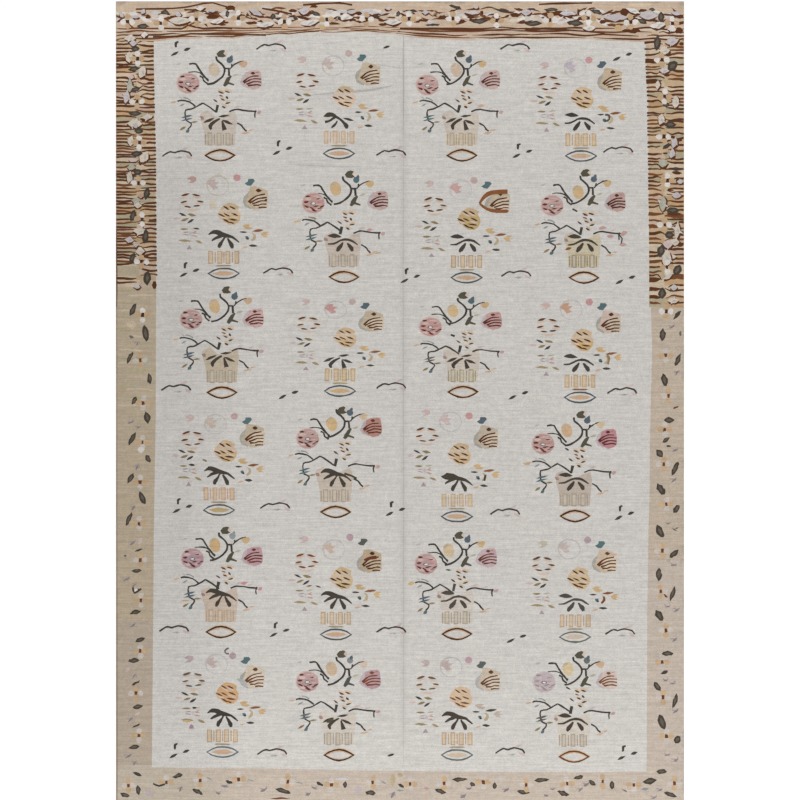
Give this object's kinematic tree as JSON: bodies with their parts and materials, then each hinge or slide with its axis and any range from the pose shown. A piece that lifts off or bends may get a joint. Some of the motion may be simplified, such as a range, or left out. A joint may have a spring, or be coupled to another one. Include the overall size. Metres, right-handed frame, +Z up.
{
  "type": "bessarabian kilim",
  "caption": "Room-size flat-woven wool kilim laid flat, with a field of flower vases inside a narrow vine border.",
  "frame": {"origin": "centre of the underside, on the floor that the rug lies on", "axes": "+X across the rug, +Y along its warps towards the end with the brown striped border, +Z up"},
  "size_m": [2.1, 2.97, 0.0043],
  "materials": {
    "wool": "matte hand-spun wool, weft-faced tapestry weave"
  },
  "bodies": {
    "root": {"kilim": "wool"}
  },
  "joints": []
}
